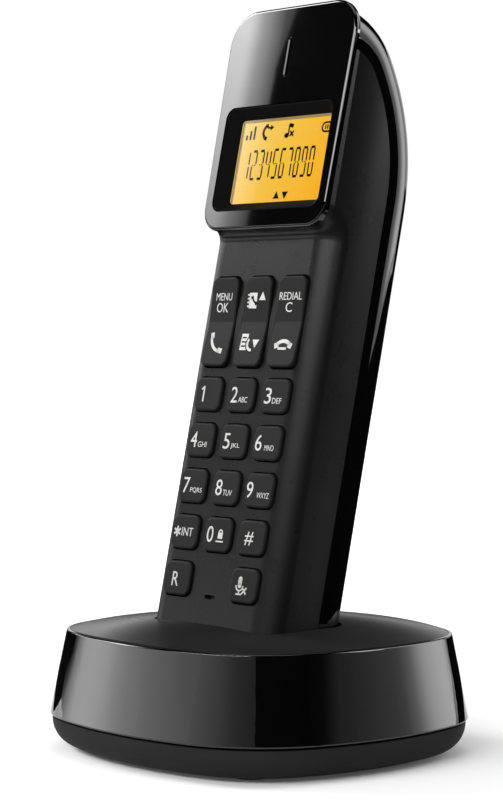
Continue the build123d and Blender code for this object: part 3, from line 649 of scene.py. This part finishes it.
cross = (45, -45)
note_x = 0.9
add_disc(picture, note_x - 0.6, 6.3, 0.85, 16, 0, 0.8)
add_bar(picture, note_x, 7.7, 0.5, 2.9)
add_bar(picture, note_x + 0.7, 8.8, 1.7, 1.0, -14)
for turn in cross:
    add_bar(picture, note_x + 1.2, 6.7, 1.9, 0.5, turn)

battery_x = 15.0
battery_half = 1.15
battery_run = 1.6
battery_line = 0.5
charge_pitch = 0.75
for side in (-1, 1):
    add_bar(picture, battery_x, signs_middle + side * battery_half, battery_run, battery_line)
    round_end = battery_x + side * battery_run / 2
    add_arc(picture, round_end, signs_middle, battery_half, battery_line, -side * 90, 180 - side * 90)
for number in (-1, 0, 1):
    add_bar(picture, battery_x + number * charge_pitch, signs_middle, 0.45, 1.1)

arrow_radius = 1.3
add_disc(picture, 0.1, -9.3, arrow_radius, 3, 0)
add_disc(picture, 3.2, -8.9, arrow_radius, 3, 180)
display_matrix = face_matrix(0, display_middle, display_face + film / 2)
finish_drawing(picture, "display_picture", "handset", display_matrix, "display_ink")
print("display picture drawn")

# %% [markdown]
# ## Painted highlight on the edge of the glass
# A pale line runs along the top and the left of the picture, where the glass of the cell ends and catches
# a little of its light. A thin glowing strip of its own paints that highlight, about a third as bright as
# the picture.

# %% Painted highlight on the edge of the glass
edge_highlight_tone = (0.33, 0.24, 0.10)
edge_patch = 3 * MM
edge_highlight_finish, edge_tree, edge_shader, edge_coords = new_finish("glass_edge_highlight", cell_dark, roughness=0.3)
edge_drift = noise(edge_tree, edge_coords, edge_patch)
wander_colour(edge_tree, edge_shader, edge_drift, cell_dark, cell_lighter)
# Painted highlight: the strip glows in place of the cell's light caught on the glass edge.
edge_shader.inputs["Emission Color"].default_value = (*edge_highlight_tone, 1)
edge_shader.inputs["Emission Strength"].default_value = 1.0
edge_shader.inputs["Specular IOR Level"].default_value = cell_shine
finishes["glass_edge_highlight"] = edge_highlight_finish
edge_wide = 0.9
edge_left = -16.45
edge_top = 10.75
glass_edge_highlight = bmesh.new()
add_bar(glass_edge_highlight, edge_left, 0, edge_wide, 2 * edge_top)
add_bar(glass_edge_highlight, 0, edge_top, -2 * edge_left, edge_wide)
finish_drawing(glass_edge_highlight, "glass_edge_highlight", "handset", display_matrix, "glass_edge_highlight")
print("edge of the glass drawn")

# %% [markdown]
# ## Key legends
# Each digit stands at the left of its key, with its letters low beside it. The sizes below are in
# millimetres from the middle of the key, read off the keypad as it is seen straight on.

# %% Digit keys
digit_box = (-3.5, -2.0, 2.35, 3.95)
digit_shift = {"6": -0.6, "9": -1.0, "0": -0.4}
letters_left = -0.6
letters_low = -1.9
letters_tall = 1.4
letter_pitch = 1.1
key_letters = {"1": "", "2": "ABC", "3": "DEF", "4": "GHI", "5": "JKL", "6": "MNO", "7": "PQRS",
               "8": "TUV", "9": "WXYZ"}


def key_matrix(key):
    """Lays a drawing on the top of a key, about the key's middle."""
    top = span(key, outward)[1]
    return face_matrix(middle(key, across), middle(key, upward), top + film / 2)


def digit_place(digit):
    """The box of a digit. Some digits stand a little further left, clear of what is beside them."""
    left, low, wide, tall = digit_box
    return left + digit_shift.get(digit, 0), low, wide, tall


for digit, letters in key_letters.items():
    key = f"key_{digit}"
    legend = bmesh.new()
    left, low, wide, tall = digit_place(digit)
    if digit == "1":
        add_bar(legend, left + 1.9, low + tall / 2, 0.5, tall)
        add_bar(legend, left + 1.45, low + tall - 0.5, 1.2, 0.42, 38)
    else:
        add_text(legend, digit, left, low, wide, tall)
    if letters:
        add_text(legend, letters, letters_left, letters_low, letter_pitch * len(letters), letters_tall)
    finish_drawing(legend, f"legend_{digit}", key, key_matrix(key), "white_print")
print("digit legends:", len(key_letters))

# %% [markdown]
# ## The other keys
# Star, zero, hash, recall and mute have a sign or a word of their own. The star, the lock and the
# microphone are drawn from bars, discs and arcs, because the font has no signs that look like them.

# %% Other keys
legend = bmesh.new()
for turn in (90, 30, -30):
    add_bar(legend, -2.8, -0.1, 2.6, 0.5, turn)
add_text(legend, "INT", -1.1, -1.1, 4.2, 2.1)
finish_drawing(legend, "legend_star", "key_star", key_matrix("key_star"), "white_print")

lock_x = 1.1
legend = bmesh.new()
add_text(legend, "0", *digit_place("0"))
add_bar(legend, lock_x, -0.2, 1.7, 1.5)
add_arc(legend, lock_x, 0.55, 0.62, 0.34, 0, 180)
add_bar(legend, lock_x, -1.65, 2.7, 0.34)
finish_drawing(legend, "legend_0", "key_0", key_matrix("key_0"), "white_print")

legend = bmesh.new()
add_text(legend, "#", -2.3, -1.85, 3.1, 3.3)
finish_drawing(legend, "legend_hash", "key_hash", key_matrix("key_hash"), "white_print")

legend = bmesh.new()
add_text(legend, "R", -1.75, -2.0, 2.4, 3.5)
finish_drawing(legend, "legend_recall", "key_recall", key_matrix("key_recall"), "white_print")

capsule_x = -1.3
capsule_y = 0.75
legend = bmesh.new()
add_bar(legend, capsule_x, capsule_y, 1.3, 1.5)
for end in (-0.75, 0.75):
    add_disc(legend, capsule_x, capsule_y + end, 0.65)
add_arc(legend, capsule_x, capsule_y - 0.8, 1.25, 0.36, 180, 360)
add_bar(legend, capsule_x, capsule_y - 2.45, 0.36, 0.8)
add_bar(legend, capsule_x, capsule_y - 2.9, 2.0, 0.36)
for turn in cross:
    add_bar(legend, capsule_x + 1.8, capsule_y - 2.0, 2.2, 0.42, turn)
finish_drawing(legend, "legend_mute", "key_mute", key_matrix("key_mute"), "white_print")
print("other legends ready")

# %% [markdown]
# ## Rocker legends
# The three tall rockers slope down to a valley in the middle, so a legend lies on one of two tilted
# faces. The broadest face of the CAD mesh on that half gives the height and the slope.

# %% Rockers
facing_out = 0.98


def rocker_matrix(rocker, half):
    """Half 1 is the upper face and -1 the lower, and y is measured from the middle of the rocker."""
    centre = across * middle(rocker, across) + upward * middle(rocker, upward)
    faces = [face for face in nodes[rocker].data.polygons
             if face.normal.dot(outward) > facing_out and half * (face.center - centre).dot(upward) > 0]
    broad = max(faces, key=lambda face: face.area)
    out = (broad.center - centre).dot(broad.normal) / outward.dot(broad.normal)
    slope = math.asin(-broad.normal.dot(upward))
    return face_matrix(middle(rocker, across), middle(rocker, upward), out + film / 2, slope)


legend = bmesh.new()
add_text(legend, "MENU", -2.9, 5.4, 6.0, 1.9)
add_text(legend, "OK", -2.3, 2.4, 4.3, 2.4)
finish_drawing(legend, "legend_menu", "rocker_left", rocker_matrix("rocker_left", 1), "white_print")

legend = bmesh.new()
add_text(legend, "REDIAL", -4.1, 5.4, 8.0, 1.9)
add_text(legend, "C", -1.5, 2.4, 2.3, 2.4)
finish_drawing(legend, "legend_redial", "rocker_right", rocker_matrix("rocker_right", 1), "white_print")
print("rocker words ready")

# %% [markdown]
# ## Signs on the rockers
# A leaning receiver takes a call, and a lying one over a bar ends it. The middle rocker has a phone book
# and a list, each with an arrow. Lines inside a sign are a second, dark print on top of the white.

# %% Signs on the rockers
dark_layer = Matrix.Translation(outward * film)

legend = bmesh.new()
add_arc(legend, 1.9, -3.5, 4.2, 0.8, 182, 268)
add_bar(legend, -2.1, -3.6, 1.2, 1.5, 8)
add_bar(legend, 1.7, -7.5, 1.6, 1.3, -12)
finish_drawing(legend, "legend_call", "rocker_left", rocker_matrix("rocker_left", -1), "white_print")

arch_foot = 2.4
legend = bmesh.new()
add_arc(legend, 0, -8.4, 3.5, 0.95, 45, 135)
for side in (-1, 1):
    add_bar(legend, side * arch_foot, -6.0, 1.4, 1.4, -side * 20)
add_bar(legend, -0.2, -6.8, 3.0, 0.6)
finish_drawing(legend, "legend_hang_up", "rocker_right", rocker_matrix("rocker_right", -1), "white_print")

page_x = -1.3
book_rings = 4
upper_face = rocker_matrix("rocker_middle", 1)
legend = bmesh.new()
add_bar(legend, page_x, 5.3, 2.8, 3.9)
for number in range(book_rings):
    add_bar(legend, page_x - 1.6, 3.9 + number * 0.95, 0.9, 0.42)
add_disc(legend, 2.1, 6.1, 1.4, 3, 0)
finish_drawing(legend, "legend_book", "rocker_middle", upper_face, "white_print")
legend = bmesh.new()
add_arc(legend, page_x + 2.0, 6.9, 2.4, 0.5, 195, 260)
add_bar(legend, page_x - 0.3, 6.1, 0.9, 0.7, 20)
add_bar(legend, page_x + 1.1, 4.6, 0.7, 0.9, 20)
finish_drawing(legend, "legend_book_lines", "rocker_middle", dark_layer @ upper_face, "display_ink")

list_x = -2.1
list_lines = 3
receiver_turn = (140, 275)
lower_face = rocker_matrix("rocker_middle", -1)
legend = bmesh.new()
add_bar(legend, list_x, -5.2, 2.4, 4.2)
add_arc(legend, 0.9, -5.6, 1.7, 0.7, *receiver_turn)
add_disc(legend, 2.1, -5.3, 1.4, 3, 180)
finish_drawing(legend, "legend_list", "rocker_middle", lower_face, "white_print")
legend = bmesh.new()
for number in range(list_lines):
    add_bar(legend, list_x - 0.1, -6.3 + number * 1.1, 1.5, 0.4)
add_arc(legend, 0.9, -5.6, 2.2, 0.3, *receiver_turn)
finish_drawing(legend, "legend_list_lines", "rocker_middle", dark_layer @ lower_face, "display_ink")
print("rocker signs ready")

# %% [markdown]
# ## The studio
# A white floor runs out to a white background, as on a product page. The floor takes light and shade
# as any matt sheet does. Where the lens or a mirror looks at it, some white is added, little near the
# phone, so that its shadow stays, and more far off, so that no horizon shows.

# %% White floor
floor_reach = 8.0
floor_white = 0.9
floor_roughness = 0.9
lift_near = 0.02
lift_far = 0.8
near_circle = 1.2


def seen_directly(tree):
    """1 for what the camera, a mirror or a lens looks at, and 0 for light that only falls."""
    path = tree.nodes.new("ShaderNodeLightPath")
    total = path.outputs["Is Camera Ray"]
    for output in ("Is Glossy Ray", "Is Transmission Ray"):
        both = tree.nodes.new("ShaderNodeMath")
        both.operation = "MAXIMUM"
        tree.links.new(total, both.inputs[0])
        tree.links.new(path.outputs[output], both.inputs[1])
        total = both.outputs[0]
    return total


floor_colour = (floor_white, floor_white, floor_white)
floor_finish = new_finish("studio_floor", floor_colour, floor_roughness)
floor_material, floor_tree, floor_shader, floor_coords = floor_finish
floor_shader.inputs["Specular IOR Level"].default_value = 0.0
floor_shader.inputs["Emission Color"].default_value = (1, 1, 1, 1)
shrink = floor_tree.nodes.new("ShaderNodeMapping")
shrink.inputs["Scale"].default_value = (1 / near_circle,) * 3
floor_tree.links.new(floor_coords, shrink.inputs["Vector"])
nearness = floor_tree.nodes.new("ShaderNodeTexGradient")
nearness.gradient_type = "SPHERICAL"
floor_tree.links.new(shrink.outputs["Vector"], nearness.inputs["Vector"])
lift = floor_tree.nodes.new("ShaderNodeMapRange")
lift.inputs["To Min"].default_value = lift_far
lift.inputs["To Max"].default_value = lift_near
floor_tree.links.new(nearness.outputs["Fac"], lift.inputs["Value"])
seen_lift = floor_tree.nodes.new("ShaderNodeMath")
seen_lift.operation = "MULTIPLY"
floor_tree.links.new(seen_directly(floor_tree), seen_lift.inputs[0])
floor_tree.links.new(lift.outputs["Result"], seen_lift.inputs[1])
floor_tree.links.new(seen_lift.outputs[0], floor_shader.inputs["Emission Strength"])

sheet = bmesh.new()
bmesh.ops.create_grid(sheet, x_segments=1, y_segments=1, size=floor_reach)
floor_mesh = bpy.data.meshes.new("studio_floor")
sheet.to_mesh(floor_mesh)
sheet.free()
floor_mesh.materials.append(floor_material)
floor = bpy.data.objects.new("studio_floor", floor_mesh)
bpy.context.scene.collection.objects.link(floor)
print("floor ready")

# %% [markdown]
# ## White background
# The background is plain white where the lens or a mirror looks at it. The light that it sheds is much
# dimmer, so that black stays black and the softboxes do the work.

# %% World
fill_level = 0.30
world = bpy.data.worlds.new("studio_world")
bpy.context.scene.world = world
world.use_nodes = True
world_tree = world.node_tree
background = world_tree.nodes["Background"]
background.inputs["Color"].default_value = (1, 1, 1, 1)
level = world_tree.nodes.new("ShaderNodeMapRange")
level.inputs["To Min"].default_value = fill_level
level.inputs["To Max"].default_value = 1.0
world_tree.links.new(seen_directly(world_tree), level.inputs["Value"])
world_tree.links.new(level.outputs["Result"], background.inputs["Strength"])
print("background ready, fill", fill_level)

# %% [markdown]
# ## Softboxes and black cards
# Black gloss shows only what stands round it. A photographer therefore lights it with long softboxes
# that fade towards the lens, and puts black cards between them, so that the mirror is dark where no
# softbox shows. Most are curved sheets on a wide circle round the phone, spun from one upright edge. The
# place of such a sheet is given as it is seen from the phone: bearings from the front, and heights as
# angles above level.

# %% Sheets on a circle
studio_radius = 3.0
card_radius = 3.3
eye_height = 0.1
spin_steps = 64
rounding = 1


def set_up(sheet, name, material):
    """Makes the sheet an object of the studio that the lens doesn't see and that casts no shadow."""
    mesh = bpy.data.meshes.new(name)
    sheet.to_mesh(mesh)
    sheet.free()
    mesh.materials.append(material)
    card = bpy.data.objects.new(name, mesh)
    bpy.context.scene.collection.objects.link(card)
    card.visible_camera = False
    card.visible_shadow = False
    return card


def spin_edge(sheet, points, angle, climb=0.0):
    """Spins an edge about the phone. It may climb by some metres on its way round."""
    ends = [sheet.verts.new(point) for point in points]
    edge = sheet.edges.new(ends)
    bmesh.ops.spin(sheet, geom=[edge, *ends], cent=(0, 0, 0), axis=(0, 0, 1),
                   dvec=(0, 0, climb / spin_steps), angle=math.radians(angle), steps=spin_steps,
                   use_duplicate=False)


def on_circle(bearing, radius, height):
    turn = math.radians(bearing)
    return radius * math.sin(turn), -radius * math.cos(turn), height


def curved_sheet(name, bearings, heights, material, slant=0.0, climb=0.0, radius=studio_radius):
    """A sheet between two bearings and two heights. Slant turns its upper edge on round the circle.

    The share layer says how far along and how far up the sheet a corner is, from 0 to 1. A bearing may
    fall short of the first one by a rounding, in degrees, before it counts as once round.
    """
    first, last = bearings
    low, high = (eye_height + radius * math.tan(math.radians(height)) for height in heights)
    sheet = bmesh.new()
    upright = on_circle(first, radius, low), on_circle(first + slant, radius, high)
    spin_edge(sheet, upright, last - first, climb)
    share = sheet.loops.layers.uv.new("share")
    for face in sheet.faces:
        for loop in face.loops:
            point = loop.vert.co
            bearing = math.degrees(math.atan2(point.x, -point.y))
            along = ((bearing - first + rounding) % 360 - rounding) / (last - first)
            up = (point.z - low - climb * along) / (high - low)
            loop[share].uv = (along - slant * up / (last - first), up)
    return set_up(sheet, name, material)


print("sheets stand on a circle of", studio_radius, "m")

# %% [markdown]
# ## Softboxes
# A softbox is brightest at its lamp and fades towards its sides. Two grey ramps give that fade, one along
# the sheet and one up it, and their product is the glow.

# %% Softboxes
def level_ramp(tree, source, levels):
    """A grey ramp through positions from 0 to 1 and levels from 0 to 1."""
    ramp = tree.nodes.new("ShaderNodeValToRGB")
    stops = ramp.color_ramp.elements
    for number, (position, level) in enumerate(levels):
        stop = stops[number] if number < 2 else stops.new(1.0)
        stop.position = position
        stop.color = (level, level, level, 1)
    ramp.color_ramp.interpolation = "CARDINAL"
    tree.links.new(source, ramp.inputs["Fac"])
    return ramp.outputs["Color"]


no_fade = ((0, 1), (1, 1))


def softbox(name, bearings, heights, levels, fade=no_fade, slant=0.0, climb=0.0, radius=studio_radius):
    """A glowing sheet. Levels pair bearings with brightness, and fade dims it from foot to top."""
    material = bpy.data.materials.new(name)
    material.use_nodes = True
    tree = material.node_tree
    tree.nodes.remove(tree.nodes["Principled BSDF"])
    coords = tree.nodes.new("ShaderNodeTexCoord")
    split = tree.nodes.new("ShaderNodeSeparateXYZ")
    tree.links.new(coords.outputs["UV"], split.inputs["Vector"])
    first, last = bearings
    brightest = max(level for bearing, level in levels)
    shares = [((bearing - first) / (last - first), level / brightest) for bearing, level in levels]
    blend = tree.nodes.new("ShaderNodeMixRGB")
    blend.blend_type = "MULTIPLY"
    blend.inputs["Fac"].default_value = 1.0
    tree.links.new(level_ramp(tree, split.outputs["X"], shares), blend.inputs["Color1"])
    tree.links.new(level_ramp(tree, split.outputs["Y"], fade), blend.inputs["Color2"])
    glow = tree.nodes.new("ShaderNodeEmission")
    glow.inputs["Strength"].default_value = brightest
    tree.links.new(blend.outputs["Color"], glow.inputs["Color"])
    tree.links.new(glow.outputs["Emission"], tree.nodes["Material Output"].inputs["Surface"])
    return curved_sheet(name, bearings, heights, material, slant, climb, radius)


print("softbox helper ready")

# %% [markdown]
# ## The lights on the left and in front
# The key softbox stands on the left. The fascia mirrors its edge, so it fades quickly there, from bright
# to dark, and it is dimmer towards its foot. The low band softbox is what the band of the base mirrors,
# and it climbs on its way round, as the glow on the band does. Two more draw the rounded edges of the
# handset.

# %% Left and front softboxes
softbox("key_softbox", (-84, -52), (17, 38), slant=-3.96,
        fade=((0, 0.2), (0.277, 0.5), (0.345, 0.55), (0.457, 1)),
        levels=[(-84, 8), (-70, 17), (-53.4, 20), (-53, 20.5), (-52.68, 11.8), (-52.3, 6.6), (-52, 3.1)])
softbox("band_softbox", (-84, 46), (-5.5, 2.5), climb=0.78,
        levels=[(-84, 0.02), (-80, 1.0), (-74, 2.7), (-60, 4.0), (-48, 3.2), (-38, 2.6), (-20, 1.7),
                (17, 0.75), (46, 0.3)])
softbox("left_edge_softbox", (-92, -66), (8, 17), levels=[(-92, 4), (-66, 4)])
softbox("edge_softbox", (-30, 50), (22.5, 36), levels=[(-30, 3), (-10, 10), (35, 11), (50, 3)])
print("left and front softboxes stand")

# %% [markdown]
# ## The lights on the right
# The right softbox stands behind the phone and draws the rounded back. Three more sheets show in gloss
# and light nothing else, because their light would fill the shadow on the floor: a low reflector close
# to the base for the end of the band, a softbox for the side of the handset, and a strip for its rim.

# %% Right softboxes
softbox("right_softbox", (137, 183), (-1, 50),
        levels=[(137, 0.7), (142, 1.0), (148, 1.9), (154, 3.4), (164, 3.8), (172, 3.0), (178, 1.8),
                (183, 0.3)])
gloss_only = [
    softbox("right_reflector", (88, 126), (-33, -11), radius=0.15,
            levels=[(88, 0.01), (94, 0.06), (99, 0.27), (106, 0.37), (124, 0.65), (126, 0.7)]),
    softbox("side_softbox", (122, 140), (9, 45), levels=[(122, 4), (127, 12), (140, 12)]),
    softbox("edge_strip", (50, 72), (20.5, 25), levels=[(50, 8), (72, 8)]),
]
for sheet in gloss_only:
    sheet.visible_diffuse = False
print("right softboxes stand,", len(gloss_only), "of them for gloss alone")

# %% [markdown]
# ## Black cards
# Four cards stand behind the softboxes, three lie on the table round the phone, and one hangs overhead.
# The lens doesn't see them, and no matt surface does, so they take no light away from the white floor.

# %% Black cards
card_tone = (0.004, 0.004, 0.004)
card_darker = (0.003, 0.003, 0.003)
card_lighter = (0.005, 0.005, 0.005)
card_patch = 0.1
card_lift = 1 * MM
clear_front = 0.27
clear_round = 0.16
ceiling_hole = 0.01
card_black, card_tree, card_shader, card_coords = new_finish("card_black", card_tone, roughness=1.0)
card_shader.inputs["Specular IOR Level"].default_value = 0.0
card_drift = noise(card_tree, card_coords, card_patch)
wander_colour(card_tree, card_shader, card_drift, card_darker, card_lighter)


def standing_card(name, bearings, heights):
    """A card on the outer circle, between two bearings and two heights in degrees."""
    card = curved_sheet(name, bearings, heights, card_black, radius=card_radius)
    card.visible_diffuse = False


def lying_card(name, bearings, reach, height):
    """A flat card round the phone, between two distances."""
    first, last = bearings
    sheet = bmesh.new()
    spin_edge(sheet, [on_circle(first, distance, height) for distance in reach], last - first)
    card = set_up(sheet, name, card_black)
    card.visible_diffuse = False


standing_card("front_card", (-53, 138), (-2, 60))
standing_card("left_card", (-108, -53), (-2, 16.8))
standing_card("far_left_card", (-178, -84), (17, 60))
standing_card("rear_card", (182, 252), (-2, 2.5))
lying_card("table_card_front", (-75, 60), (clear_front, card_radius), card_lift)
lying_card("table_card", (60, 183), (clear_round, card_radius), card_lift)
lying_card("table_card_behind", (183, 276), (clear_round, card_radius), card_lift)
lying_card("ceiling_card", (0, 360), (ceiling_hole, card_radius), eye_height + card_radius)
print("black cards in place")

# %% [markdown]
# ## Softbox overhead
# A dim round softbox hangs just under the card overhead. It fills from above and draws a thin line on
# every rim. It needs no fade, so a flat disc of one brightness is enough.

# %% Softbox overhead
overhead_level = 1.6
overhead_radius = 1.3
overhead_height = 3.2
overhead_glow, _, overhead_shader, _ = new_finish("overhead_softbox", (0, 0, 0), roughness=1.0)
overhead_shader.inputs["Emission Color"].default_value = (1, 1, 1, 1)
overhead_shader.inputs["Emission Strength"].default_value = overhead_level
overhead = bmesh.new()
bmesh.ops.create_circle(overhead, cap_ends=True, radius=overhead_radius, segments=spin_steps)
bmesh.ops.translate(overhead, verts=overhead.verts, vec=(0, 0, overhead_height))
set_up(overhead, "overhead_softbox", overhead_glow)
print("overhead softbox", overhead_radius * 2, "m across")

# %% [markdown]
# ## Picture settings
# Colours are shown as they are, with the plain Standard view.

# %% Finish
bpy.context.scene.view_settings.view_transform = "Standard"
